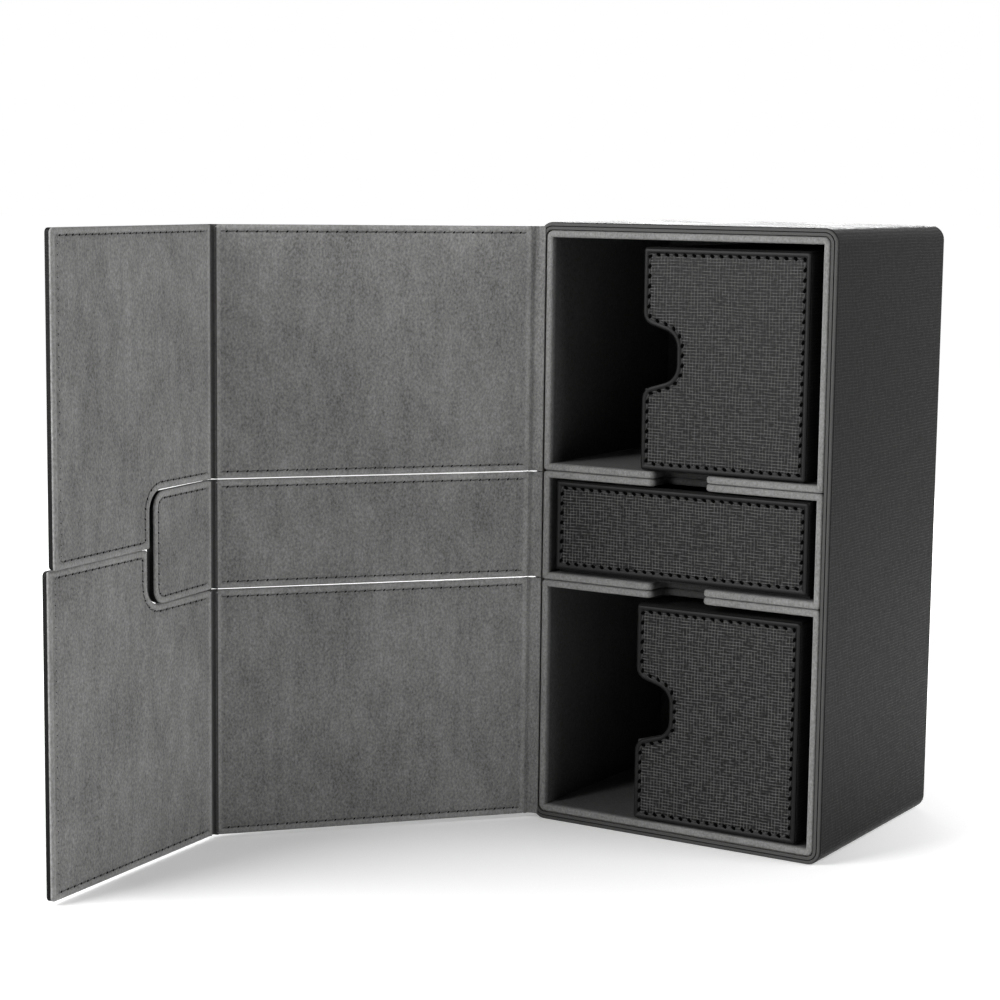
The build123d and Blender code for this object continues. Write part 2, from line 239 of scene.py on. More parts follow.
LEVEL_PITCH, UPRIGHT_PITCH = 1.05 * MM, 1.15 * MM  # of the crossed threads pressed into the leather
THREAD_DRIFT = 6.0  # radians by which the threads wander
UPRIGHT_SHARE, CROSSING_SHARE = 0.8, 0.8  # how far the upright threads and the crossings stand up, and how much lighter they are painted as painted glints
MEAN_RAISED, DARKEST_SHADE = 0.25, 0.2
THREAD_SHINE = 0.16  # how much smoother a thread is than the ground between


def thread_lines(tree, where, position, pitch, stretch):
    """Fine parallel threads, a little wavy and broken into short lengths."""
    drift = stretched_noise(tree, where, 60, 1, (1, 1, 1))
    wander = calculate(tree, "MULTIPLY", drift, THREAD_DRIFT)
    phase = calculate(tree, "MULTIPLY_ADD", position, math.tau / pitch, wander)
    line = ramp_between(tree, calculate(tree, "SINE", phase), 0.0, 1.0)
    lengths = ramp_between(tree, stretched_noise(tree, where, 100, 1, stretch), 0.3, 0.56)
    return calculate(tree, "MULTIPLY", line, lengths)


def make_hatch_grain():
    """Artificial leather pressed with fine crossed threads, level and upright. The raised threads and their
    crossings are painted lighter as painted glints, and the shell's front rim as a painted highlight.
    """
    group = bpy.data.node_groups.new("crossed leather grain", "ShaderNodeTree")
    enter, leave = group_sockets(
        group,
        [("Colour", "NodeSocketColor", (0.03, 0.03, 0.03, 1)), ("Contrast", "NodeSocketFloat", 1.0),
         ("Gloss", "NodeSocketFloat", 0.5), ("Painted rim light", "NodeSocketFloat", 0.0)],
        [("Colour", "NodeSocketColor"), ("Roughness", "NodeSocketFloat"), ("Height", "NodeSocketFloat")],
    )
    where = group.nodes.new("ShaderNodeTexCoord").outputs["Object"]
    split = group.nodes.new("ShaderNodeSeparateXYZ")
    group.links.new(where, split.inputs[0])
    across = calculate(group, "ADD", split.outputs["X"], split.outputs["Y"])
    level_lines = thread_lines(group, where, split.outputs["Z"], LEVEL_PITCH, (4, 4, 11))
    upright_lines = thread_lines(group, where, across, UPRIGHT_PITCH, (10, 10, 4))
    crossings = calculate(group, "MULTIPLY", level_lines, upright_lines)
    grain = stretched_noise(group, where, 2600, 2, (1, 1, 1))
    cloud = stretched_noise(group, where, 45, 2, (1, 1, 1))
    lower_lines = calculate(group, "MULTIPLY", upright_lines, UPRIGHT_SHARE)
    threads = calculate(group, "MAXIMUM", level_lines, lower_lines)
    threads = calculate(group, "MULTIPLY_ADD", crossings, CROSSING_SHARE, threads)
    inside = calculate(group, "SUBTRACT", 1.0, border_mask(group))
    raised = calculate(group, "MULTIPLY", threads, inside)
    height = calculate(group, "MULTIPLY_ADD", grain, 0.3, raised)
    # Painted glints: the raised threads and their crossings are painted lighter than the ground between them
    above_mean = calculate(group, "SUBTRACT", raised, MEAN_RAISED)
    shade = calculate(group, "MULTIPLY_ADD", above_mean, enter.outputs["Contrast"], 1.0)
    shade = calculate(group, "MULTIPLY_ADD", about_zero(group, cloud), 0.25, shade)
    shade = calculate(group, "MAXIMUM", shade, DARKEST_SHADE)
    # Painted highlight: the leather is painted lighter on its front rim, fading out towards the groove
    rim = ramp_between(group, split.outputs["Y"], *LEATHER_RIM_HIGHLIGHT, 1.0, 0.0)
    shade = calculate(group, "MULTIPLY_ADD", rim, enter.outputs["Painted rim light"], shade)
    group.links.new(tint(group, enter.outputs["Colour"], shade), leave.inputs["Colour"])
    sunk = calculate(group, "SUBTRACT", 0.5, raised)
    rough = calculate(group, "MULTIPLY_ADD", sunk, THREAD_SHINE, enter.outputs["Gloss"])
    group.links.new(rough, leave.inputs["Roughness"])
    group.links.new(height, leave.inputs["Height"])
    return group


suede_nap = make_suede_nap()
hatch_grain = make_hatch_grain()


def surfaced(name, group, values, bump, bump_depth, sheen=0.0, specular=0.5):
    """A material whose colour, roughness and relief come from one of the groups."""
    material = bpy.data.materials.new(name)
    material.use_nodes = True
    tree = material.node_tree
    shader = tree.nodes["Principled BSDF"]
    finish = tree.nodes.new("ShaderNodeGroup")
    finish.node_tree = group
    for key, value in values.items():
        finish.inputs[key].default_value = value
    tree.links.new(finish.outputs["Colour"], shader.inputs["Base Color"])
    tree.links.new(finish.outputs["Roughness"], shader.inputs["Roughness"])
    relief = tree.nodes.new("ShaderNodeBump")
    relief.inputs["Strength"].default_value = bump
    relief.inputs["Distance"].default_value = bump_depth
    tree.links.new(finish.outputs["Height"], relief.inputs["Height"])
    tree.links.new(relief.outputs["Normal"], shader.inputs["Normal"])
    shader.inputs["Sheen Weight"].default_value = sheen
    shader.inputs["Sheen Roughness"].default_value = 0.5
    shader.inputs["Specular IOR Level"].default_value = specular
    return material


def grey(value):
    return (value, value, value * 0.985, 1)


# Lid suede: its border setting paints a highlight on the rolled border
lid_suede = surfaced(
    "lid suede", suede_nap, {"Colour": grey(0.19), "Patches": 0.75, "Speckle": 1.7, "Painted border highlight": 0.35},
    bump=0.7, bump_depth=0.2 * MM, sheen=0.1, specular=0.15,
)
# Fold suede: painted dark as the shade in the fold between lid and flap
fold_suede_painted_shade = surfaced(
    "fold suede painted shade", suede_nap, {"Colour": grey(0.05), "Patches": 0.4, "Speckle": 1.0},
    bump=0.6, bump_depth=0.2 * MM,
)
# Bay suede: dark base colour as painted shade inside the bays, painted lighter on their front rims as
# painted light
bay_suede_painted_shade = surfaced(
    "bay suede with painted shade", suede_nap, {"Colour": grey(0.055), "Patches": 0.4, "Speckle": 1.2, "Painted rim light": 2.9},
    bump=0.6, bump_depth=0.2 * MM, sheen=0.08, specular=0.1,
)
# Leathers below: their threads are painted lighter as painted glints, slightly here, strongly on the tray
# fronts
cover_leather = surfaced(
    "cover leather", hatch_grain, {"Colour": grey(0.004), "Contrast": 0.5, "Gloss": 0.4},
    bump=0.25, bump_depth=0.1 * MM, specular=0.05,
)
# Shell leather: its front rim painted lighter as a painted highlight
shell_leather = surfaced(
    "shell leather", hatch_grain, {"Colour": grey(0.0045), "Contrast": 0.5, "Gloss": 0.36, "Painted rim light": 17.0},
    bump=0.25, bump_depth=0.1 * MM, specular=0.04,
)
# Tray fronts: the strong thread setting paints the glints of the pressed threads into the colour
front_leather = surfaced(
    "tray front leather", hatch_grain, {"Colour": grey(0.013), "Contrast": 7.0, "Gloss": 0.4},
    bump=1.0, bump_depth=0.17 * MM, specular=0.17,
)
tray_leather = surfaced(
    "tray side leather", hatch_grain, {"Colour": grey(0.012), "Contrast": 0.5, "Gloss": 0.45},
    bump=0.25, bump_depth=0.1 * MM, specular=0.1,
)
inner_leather = surfaced(
    "tray inside leather", hatch_grain, {"Colour": grey(0.01), "Contrast": 0.4, "Gloss": 0.6},
    bump=0.3, bump_depth=0.1 * MM, specular=0.2,
)


def plain(name, colour, roughness, metallic=0.0, speckle=400, spread=0.1, specular=0.5):
    """A material of one colour with a slight speckle."""
    material = bpy.data.materials.new(name)
    material.use_nodes = True
    tree = material.node_tree
    shader = tree.nodes["Principled BSDF"]
    where = tree.nodes.new("ShaderNodeTexCoord").outputs["Object"]
    noise = stretched_noise(tree, where, speckle, 3, (1, 1, 1))
    base = tree.nodes.new("ShaderNodeRGB")
    base.outputs[0].default_value = colour
    speckled = ramp_between(tree, noise, 0.3, 0.7, 1 - spread, 1 + spread)
    tree.links.new(tint(tree, base.outputs[0], speckled), shader.inputs["Base Color"])
    uneven = ramp_between(tree, noise, 0.3, 0.7, roughness - 0.08, roughness + 0.08)
    tree.links.new(uneven, shader.inputs["Roughness"])
    shader.inputs["Metallic"].default_value = metallic
    shader.inputs["Specular IOR Level"].default_value = specular
    return material


thread = plain("sewing thread", grey(0.02), 0.5, speckle=3000, spread=0.3, specular=0.3)
lining_thread = plain("lining thread", grey(0.05), 0.6, speckle=3000, spread=0.3)
# Black with no reflection: the painted shade inside a needle hole
needle_hole_shade = plain("needle hole", grey(0.002), 0.95, specular=0.0)
greyboard = plain("greyboard", (0.28, 0.26, 0.24, 1), 0.9, spread=0.25)
nickel = plain("nickel plate", (0.6, 0.6, 0.58, 1), 0.25, metallic=1.0, speckle=900, spread=0.05)

for name, node in frame["nodes"].items():
    if name.endswith("_board"):
        node_material = greyboard
    elif name.endswith("magnets"):
        node_material = nickel
    elif name.endswith("_lining") and name.startswith(("lid", "flap")) or "hinge" in name:
        node_material = lid_suede
    elif "liner" in name or "lining" in name:
        node_material = bay_suede_painted_shade
    elif name.startswith("deck_tray") or name == "drawer_front_cover":
        node_material = tray_leather
    elif name == "drawer_tray":
        node_material = inner_leather
    elif name == "shell_cover":
        node_material = shell_leather
    else:
        node_material = cover_leather
    node.data.materials.clear()
    node.data.materials.append(node_material)


# ------------------------------------------------------------------ sewing
def rice_grain(name, length, width, material):
    """One stitch, or the black mark of painted shade in a needle hole, long in x, lying on the surface with
    its ends pulled down.
    """
    drop_selection()
    bpy.ops.mesh.primitive_uv_sphere_add(segments=8, ring_count=6, radius=0.5, rotation=(0, math.pi / 2, 0))
    obj = bpy.context.object
    obj.name = name
    settle(obj)
    obj.scale = (length, width, width * 0.8)
    settle(obj)
    bpy.ops.object.shade_smooth()
    obj.data.materials.append(material)
    return obj


stitch_in_black = rice_grain("stitch_in_black", 2.0 * MM, 0.6 * MM, thread)
stitch_in_grey = rice_grain("stitch_in_grey", 2.35 * MM, 0.42 * MM, lining_thread)
hole_shade_in_grey = rice_grain("hole_shade_in_grey", 0.95 * MM, 0.5 * MM, needle_hole_shade)
hole_shade_in_black = rice_grain("hole_shade_in_black", 1.7 * MM, 1.15 * MM, needle_hole_shade)
STITCH_SLANT = math.radians(-9)
HOLE_SLANT = math.radians(-40)


def along(points, closed):
    """Legs of an outline: start, direction and length of each."""
    ends = points[1:] + points[:1] if closed else points[1:]
    return [(a, (b - a).normalized(), (b - a).length) for a, b in zip(points, ends)]


def rounded(points, radii, closed=True, steps=6):
    """The outline's corners turned into arcs."""
    out = []
    count = len(points)
    for i, point in enumerate(points):
        radius = radii[i]
        if radius <= 0 or (not closed and i in (0, count - 1)):
            out.append(point)
            continue
        back = (points[i - 1] - point).normalized()
        on = (points[(i + 1) % count] - point).normalized()
        half = back.angle(on) / 2
        reach = radius / math.tan(half)
        centre = point + (back + on).normalized() * (radius / math.sin(half))
        first = point + back * reach - centre
        last = point + on * reach - centre
        sweep = math.atan2(first.x * last.y - first.y * last.x, first.dot(last))
        for k in range(steps + 1):
            turn = Matrix.Rotation(sweep * k / steps, 2)
            out.append(centre + turn @ first)
    return out


def seam_places(points, closed):
    """Where the stitches and the needle holes of a seam lie, each with its direction."""
    legs = along(points, closed)
    total = sum(length for start, direction, length in legs)
    count = max(1, round(total / STITCH_PITCH))

    def at(distance):
        for start, direction, length in legs:
            if distance <= length:
                return start + direction * distance, direction
            distance -= length
        return start + direction * length, direction

    first_hole = 0 if closed else 1
    stitches = [at((k + 0.5) * total / count) for k in range(count)]
    holes = [at(k * total / count) for k in range(first_hole, count)]
    return stitches, holes


def sew(name, body, place, seam, stitch, hole, face):
    """Lays a stitch and a needle hole's black mark of painted shade on a surface at each of a seam's places.
    """
    copies = []
    for master, places, slant in ((stitch, seam[0], STITCH_SLANT), (hole, seam[1], HOLE_SLANT)):
        for point, direction in places:
            copy = master.copy()
            copy.data = master.data.copy()
            scene.collection.objects.link(copy)
            turn = Matrix.Rotation(math.atan2(direction.y, direction.x) + slant, 4, "Z")
            copy.matrix_world = place @ Matrix.Translation((point.x, point.y, face)) @ turn
            copies.append(copy)
    drop_selection()
    for copy in copies:
        copy.select_set(True)
    bpy.context.view_layer.objects.active = copies[0]
    bpy.ops.object.join()
    row = bpy.context.object
    row.name = name
    settle(row)
    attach(row, body)
    return row


def in_mm(x, y):
    return Vector((x, y)) * MM


def outline_of(node, place):
    """Least and greatest x and y of a CAD node, in a lid's or flap's own plane."""
    back = place.inverted()
    corners = [back @ v.co for v in frame["nodes"][node].data.vertices]
    return (
        Vector((min(c.x for c in corners), min(c.y for c in corners))),
        Vector((max(c.x for c in corners), max(c.y for c in corners))),
    )


# ------------------------------------------------------------------ padded sheets
# In mm: how far in from the edge, and how high the sheet stands there where it is sewn and where it isn't
SUEDE_ROLL = (
    (0.0, 0.38, 0.38), (0.08, 0.56, 0.55), (0.25, 0.72, 0.68), (0.5, 0.84, 0.76), (0.85, 0.92, 0.81),
    (1.2, 0.93, 0.83), (1.6, 0.84, 0.83), (1.95, 0.66, 0.82), (2.25, 0.55, 0.81), (2.5, 0.57, 0.8),
    (2.8, 0.7, 0.8), (3.4, 0.79, 0.8), (4.6, 0.8, 0.8),
)
LEATHER_ROLL = (
    (0.0, 0.55, 0.55), (0.06, 0.73, 0.73), (0.2, 0.89, 0.89), (0.45, 1.0, 1.0), (0.8, 1.05, 1.05),
    (1.15, 1.02, 1.02), (1.5, 0.9, 0.9), (1.8, 0.72, 0.72), (2.05, 0.64, 0.64), (2.3, 0.66, 0.66),
    (2.6, 0.73, 0.73), (3.2, 0.76, 0.76), (4.2, 0.76, 0.76),
)
TONGUE_ROLL = (
    (0.0, 0.1, 0.1), (0.1, 0.6, 0.5), (0.3, 1.2, 0.55), (0.7, 1.7, 0.55), (1.2, 1.6, 0.55), (1.8, 0.9, 0.55),
    (2.3, 0.5, 0.55), (2.8, 0.52, 0.55), (3.4, 0.55, 0.55),
)
ARC_STEPS = 7
LEAST_RADIUS = 0.05 * MM
SHEET_STEP = 0.9 * MM
SEAM_BAND = 1.4, 3.0  # mm from the edge between which the needle holes draw the sheet down
HOLE_REACH = 0.75 * MM
BORDER_END, BORDER_FADE = 2.3, 0.8  # mm from the edge where the rolled border ends, and over how much
SUEDE_PULL, LEATHER_PULL = 0.12 * MM, 0.16 * MM  # how deep a needle hole draws the sheet down
LINING_SEAM = LINING_BACK - 0.62 * MM  # where the lining's stitches lie, in the groove of their seam


def drawn_in(corners, radii, inset):
    """The outline, which runs anticlockwise, drawn in by the inset."""
    new_corners, new_radii = [], []
    for i, corner in enumerate(corners):
        before = (corner - corners[i - 1]).normalized()
        after = (corners[(i + 1) % len(corners)] - corner).normalized()
        left_before, left_after = Vector((-before.y, before.x)), Vector((-after.y, after.x))
        new_corners.append(corner + (left_before + left_after) * inset / (1 + left_before.dot(left_after)))
        turns_left = before.x * after.y - before.y * after.x > 0
        new_radii.append(max(radii[i] - inset, LEAST_RADIUS) if turns_left else radii[i] + inset)
    return new_corners, new_radii


def ring_of(corners, radii, sewn, inset, divisions=None):
    """Points of the outline drawn in by the inset, each with how far it belongs to a sewn edge."""
    corners, radii = drawn_in(corners, radii, inset)
    rounds = [rounded([corners[i - 1], corners[i], corners[(i + 1) % len(corners)]], [0, radii[i], 0],
                      closed=False, steps=ARC_STEPS)[1:-1] for i in range(len(corners))]
    if divisions is None:
        gaps = [(rounds[(i + 1) % len(rounds)][0] - rounds[i][-1]).length for i in range(len(rounds))]
        divisions = [max(1, round(gap / SHEET_STEP)) for gap in gaps]
    points, shares = [], []
    for i, arc in enumerate(rounds):
        onward = rounds[(i + 1) % len(rounds)][0]
        points += arc
        shares += [sewn[i - 1] + (sewn[i] - sewn[i - 1]) * k / ARC_STEPS for k in range(len(arc))]
        for k in range(1, divisions[i]):
            points.append(arc[-1].lerp(onward, k / divisions[i]))
            shares.append(sewn[i])
    return points, shares, divisions


def padded_sheet(name, place, corners, radii, sewn, roll, holes, back, side, pull):
    """A sheet over padding: rolled at its edge, drawn down along its seam and at each needle hole.

    The edges run anticlockwise, and sewn says of each one whether the seam follows it. The sheet
    rises from its back towards the side, +1 or -1.
    """
    points, shares, divisions = ring_of(corners, radii, sewn, 0.0)
    drop_selection()
    bpy.ops.mesh.primitive_circle_add(vertices=len(points), radius=1, fill_type="NOTHING")
    sheet = bpy.context.object
    sheet.name = name
    for vertex, point in zip(sheet.data.vertices, points):
        vertex.co = (point.x, point.y, back)
    border = [0.0] * len(points)
    bpy.ops.object.mode_set(mode="EDIT")
    bpy.ops.mesh.select_mode(type="EDGE")
    bpy.ops.mesh.select_all(action="SELECT")
    for inset, sewn_height, plain_height in roll:
        bpy.ops.mesh.extrude_edges_move()
        bpy.ops.object.mode_set(mode="OBJECT")
        points, shares, divisions = ring_of(corners, radii, sewn, inset * MM, divisions)
        new = [v for v in sheet.data.vertices if v.select]
        for vertex, point, share in zip(new, points, shares):
            height = (plain_height + (sewn_height - plain_height) * share) * MM
            if SEAM_BAND[0] < inset < SEAM_BAND[1] and holes:
                nearest = min((point - hole_place).length for hole_place, direction in holes)
                height -= pull * math.exp(-((nearest / HOLE_REACH) ** 2))
            vertex.co = (point.x, point.y, back + side * height)
            border.append(min(1.0, max(0.0, (BORDER_END - inset) / BORDER_FADE)))
        bpy.ops.object.mode_set(mode="EDIT")
    bpy.ops.mesh.edge_face_add()
    bpy.ops.mesh.select_all(action="DESELECT")
    bpy.ops.object.mode_set(mode="OBJECT")
    for edge in sheet.data.edges:
        edge.select = all(v < len(points) for v in edge.vertices)
    bpy.ops.object.mode_set(mode="EDIT")
    bpy.ops.mesh.edge_face_add()
    bpy.ops.object.mode_set(mode="OBJECT")
    mask = sheet.data.attributes.new("border", "FLOAT", "POINT")
    for value, share in zip(mask.data, border):
        value.value = share
    settle(sheet, place)
    outward(sheet)
    take(sheet)
    bpy.ops.object.shade_smooth_by_angle(angle=math.radians(60))
    return sheet


def anticlockwise(corners, radii, sewn):
    """Turns an outline round if it runs clockwise. Edge i runs from corner i to the next."""
    area = sum(a.x * b.y - a.y * b.x for a, b in zip(corners, corners[1:] + corners[:1]))
    if area > 0:
        return corners, radii, sewn
    return corners[::-1], radii[::-1], sewn[-2::-1] + sewn[-1:]


# ------------------------------------------------------------------ lids and flaps
NOTCH_REACH = 37.4 * MM  # fold line to the end of the notch in a flap
NOTCH_CORNER = 6.9 * MM
TONGUE_CORNER = 5.5 * MM
FLAP_CORNER = 1.5 * MM
INNER_CORNER = 0.6 * MM  # where the upper and the lower flap meet
LID_CORNER = 1.0 * MM
LID_SPLIT = 0.5 * MM
FOLD_SWELL = 0.45 * MM  # how far the soft edge of the suede swells towards the fold
FREE_END_EXTRA = 1.1 * MM  # how much further in the seam runs at a flap's free end
LEAST_SEAM_TURN = 0.8 * MM  # radius of the sharpest corner a seam turns round
tongue_low, tongue_high = outline_of("flap_middle_lining", flap_leaf["middle"])


def sew_leaf(body, place, seam, suffix=""):
    """Sews a lid or flap through, with grey thread in its suede and black on its leather."""
    sew(f"{body}_seam{suffix}", body, place, seam, stitch_in_grey, hole_shade_in_grey, LINING_SEAM)
    sew(f"{body}_outer_seam{suffix}", body, place, seam, stitch_in_black, hole_shade_in_grey, LEATHER_FACE)


def suede_leaf(body, place, corners, radii, sewn, holes):
    """The padded suede of a lid or flap."""
    sheet = padded_sheet(f"{body}_suede", place, corners, radii, sewn, SUEDE_ROLL,
                         holes, LINING_BACK, -1, SUEDE_PULL)
    dress(sheet, lid_suede)
    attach(sheet, body)
    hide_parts(f"{body}_lining")


for level in LEVELS:
    # Panel: sewn along the splits, and rolled without a seam along the fold lines
    low, high = outline_of(f"lid_{level}_lining", lid_leaf)
    high.x += FOLD_SWELL
    corners = [low, Vector((high.x, low.y)), high, Vector((low.x, high.y))]
    holes = []
    first_x, last_x = low.x + SEAM_INSET * 0.4, high.x - SEAM_INSET * 0.4
    for edge, y in (("top", high.y - SEAM_INSET), ("bottom", low.y + SEAM_INSET)):
        seam = seam_places([Vector((first_x, y)), Vector((last_x, y))], False)
        holes += seam[1]
        sew_leaf(f"lid_{level}", lid_leaf, seam, f"_{edge}")
    suede_leaf(f"lid_{level}", lid_leaf, corners, [LID_CORNER] * 4, [1, 0, 1, 0], holes)

    # Flap: sewn all round but for its fold side
    low, high = outline_of(f"flap_{level}_lining", flap_leaf[level])
    low.x -= FOLD_SWELL
    if level == "middle":
        corners = [low, Vector((high.x, low.y)), high, Vector((low.x, high.y))]
        radii = [LEAST_RADIUS, TONGUE_CORNER, TONGUE_CORNER, LEAST_RADIUS]
        sewn = [1, 1, 1, 0]
    else:
        up = 1 if level == "upper" else -1
        outer_y, inner_y = (high.y, low.y) if up > 0 else (low.y, high.y)
        notch_y = (tongue_high.y if up > 0 else tongue_low.y) + up * LID_SPLIT
        corners = [Vector((low.x, notch_y)), Vector((NOTCH_REACH, notch_y)), Vector((NOTCH_REACH, inner_y)),
                   Vector((high.x, inner_y)), Vector((high.x, outer_y)), Vector((low.x, outer_y))]
        radii = [LEAST_RADIUS, NOTCH_CORNER, INNER_CORNER, INNER_CORNER, FLAP_CORNER, LEAST_RADIUS]
        sewn = [1, 1, 1, 1, 1, 0]
        corners, radii, sewn = anticlockwise(corners, radii, sewn)
    seam_corners = [
        Vector((c.x - FREE_END_EXTRA, c.y)) if c.x == high.x and level != "middle" else c for c in corners
    ]
    path, path_radii = drawn_in(seam_corners, radii, SEAM_INSET)
    start = (sewn.index(0) + 1) % len(corners)
    path, path_radii = path[start:] + path[:start], path_radii[start:] + path_radii[:start]
    seam = seam_places(rounded(path, [max(r, LEAST_SEAM_TURN) for r in path_radii], closed=False), False)
    sew_leaf(f"flap_{level}", flap_leaf[level], seam)
    suede_leaf(f"flap_{level}", flap_leaf[level], corners, radii, sewn, seam[1])

# The tongue's leather is rolled thick along its edge
low, high = outline_of("flap_middle_cover", flap_leaf["middle"])
corners = [low, Vector((high.x, low.y)), high, Vector((low.x, high.y))]
outer_corner = TONGUE_CORNER - 1 * MM
tongue = padded_sheet("tongue_leather", flap_leaf["middle"], corners,
                      [LEAST_RADIUS, outer_corner, outer_corner, LEAST_RADIUS], [1, 1, 1, 0],
                      TONGUE_ROLL, [], LEATHER_FACE - 0.5 * MM, 1, 0.0)
dress(tongue, cover_leather)
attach(tongue, "flap_middle")


# ------------------------------------------------------------------ fronts of the trays and the drawer
# x to the right, y up, z towards the front
front_place = Matrix(((1, 0, 0, 0), (0, 0, -1, 0), (0, 1, 0, 0), (0, 0, 0, 1)))
FRONT_ROUNDING = 0.35 * MM  # the leather's edge inside the rounded edge of the box behind it
FRONT_BACK = 0.6 * MM  # the leather's back, inside the wall that carries it
FREE_EDGE = 0.15 * MM  # how far the leather rolls past the wall's free edge
NOTCH_MOUTH, NOTCH_END, NOTCH_DEPTH = 11.3 * MM, 7.4 * MM, 12.9 * MM
NOTCH_LIP, NOTCH_BOWL, NOTCH_LIFT = 4.5 * MM, 6.0 * MM, 1.2 * MM
FRONT_CORNER = 1.1 * MM
LEAST_FRONT_TURN = 0.9 * MM
FRONT_THREAD = 0.7 * MM  # leather's back to the thread in its seam


def leather_front(name, body, node, notched):
    """The padded leather on the front of a tray or the drawer, sewn all round."""
    low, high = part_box(node)
    edge = FRONT_ROUNDING
    left, right, bottom, top = low.x + edge, high.x - edge, low.z + edge, high.z - edge
    corners = [Vector((left, bottom)), Vector((right, bottom)), Vector((right, top)), Vector((left, top))]
    radii = [FRONT_CORNER] * 4
    if notched:
        left = low.x - FREE_EDGE
        centre = (low.z + high.z) / 2 + NOTCH_LIFT
        notch = [Vector((left, centre + NOTCH_MOUTH)), Vector((left + NOTCH_DEPTH, centre + NOTCH_END)),
                 Vector((left + NOTCH_DEPTH, centre - NOTCH_END)), Vector((left, centre - NOTCH_MOUTH))]
        corners = [Vector((left, bottom)), corners[1], corners[2], Vector((left, top))] + notch
        radii += [NOTCH_LIP, NOTCH_BOWL, NOTCH_BOWL, NOTCH_LIP]
    sewn = [1] * len(corners)
    path, path_radii = drawn_in(corners, radii, FRONT_SEAM)
    seam = seam_places(rounded(path, [max(r, LEAST_FRONT_TURN) for r in path_radii]), True)
    back = -low.y - FRONT_BACK
    sew(f"{name}_seam", body, front_place, seam, stitch_in_black, hole_shade_in_black, back + FRONT_THREAD)
    sheet = padded_sheet(f"{name}_leather", front_place, corners, radii, sewn, LEATHER_ROLL,
                         seam[1], back, 1, LEATHER_PULL)
    dress(sheet, front_leather)
    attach(sheet, body)


for level in ("upper", "lower"):
    leather_front(f"deck_tray_{level}", f"deck_tray_{level}", f"deck_tray_{level}", True)
leather_front("drawer_front", "drawer", "drawer_front_cover", False)


# ------------------------------------------------------------------ suede inside the trays and the drawer
def side_faces(obj, direction):
    """Selects the faces that look in a direction."""
    for polygon in obj.data.polygons:
        polygon.select = polygon.normal.dot(direction) > 0.9


def suede_skin(name, node, body, open_to, thickness, notch=None):
    """A skin with soft corners in a tray, open to one side, and cut by the notch if there is one."""
    low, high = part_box(node)
    drop_selection()
    bpy.ops.mesh.primitive_cube_add(size=1)
    skin = bpy.context.object
    skin.name = name
    skin.scale = high - low
    skin.location = (high + low) / 2
    settle(skin)
    bpy.ops.object.mode_set(mode="EDIT")
    bpy.ops.mesh.select_mode(type="FACE")
    bpy.ops.mesh.select_all(action="DESELECT")
    bpy.ops.object.mode_set(mode="OBJECT")
    side_faces(skin, Vector(open_to))
    bpy.ops.object.mode_set(mode="EDIT")
    bpy.ops.mesh.delete(type="FACE")
    bpy.ops.mesh.select_mode(type="EDGE")
    bpy.ops.mesh.select_non_manifold()
    bpy.ops.mesh.select_all(action="INVERT")
    bpy.ops.mesh.bevel(offset=SKIN_CORNER, segments=4, affect="EDGES")
    bpy.ops.object.mode_set(mode="OBJECT")
    wall = skin.modifiers.new("wall", "SOLIDIFY")
    wall.thickness = thickness
    wall.offset = -1
    wall.use_even_offset = True
    apply_modifiers(skin)
    if notch:
        cut = skin.modifiers.new("notch", "BOOLEAN")
        cut.operation = "DIFFERENCE"
        cut.object = notch
        apply_modifiers(skin)
        bpy.data.objects.remove(notch)
    outward(skin)
    bpy.ops.object.shade_smooth_by_angle(angle=math.radians(40))
    dress(skin, bay_suede_painted_shade)
    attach(skin, body)
    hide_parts(node)


def notch_cutter(node):
    """A bar of the thumb notch's outline, as deep as a tray's front."""
    low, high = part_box(node)
    left = low.x
    centre = (low.z + high.z) / 2 + NOTCH_LIFT
    outside, end = left - 5 * MM, left + NOTCH_DEPTH
    corners = [Vector((outside, centre - NOTCH_MOUTH)), Vector((left, centre - NOTCH_MOUTH)),
               Vector((end, centre - NOTCH_END)), Vector((end, centre + NOTCH_END)),
               Vector((left, centre + NOTCH_MOUTH)), Vector((outside, centre + NOTCH_MOUTH))]
    points = rounded(corners, [0, NOTCH_LIP, NOTCH_BOWL, NOTCH_BOWL, NOTCH_LIP, 0])
    drop_selection()
    bpy.ops.mesh.primitive_circle_add(vertices=len(points), radius=1, fill_type="NGON")
    cutter = bpy.context.object
    for vertex, point in zip(cutter.data.vertices, points):
        vertex.co = (point.x, point.y, -low.y - 8 * MM)
    bpy.ops.object.mode_set(mode="EDIT")
    bpy.ops.mesh.select_all(action="SELECT")
    bpy.ops.mesh.extrude_region_move(TRANSFORM_OT_translate={"value": (0, 0, 12 * MM)})
    bpy.ops.object.mode_set(mode="OBJECT")
    settle(cutter, front_place)
    return outward(cutter)


SKIN_CORNER = 1.5 * MM
TRAY_SKIN, DRAWER_SKIN = 0.6 * MM, 0.8 * MM  # how thick the suede is
for level in ("upper", "lower"):
    tray, lining = f"deck_tray_{level}", f"deck_tray_lining_{level}"
    suede_skin(f"{tray}_suede", lining, tray, (-1, 0, 0), TRAY_SKIN, notch_cutter(lining))
suede_skin("drawer_suede", "drawer_lining", "drawer", (0, 0, 1), DRAWER_SKIN)

for master in (stitch_in_black, stitch_in_grey, hole_shade_in_black, hole_shade_in_grey):
    bpy.data.objects.remove(master)


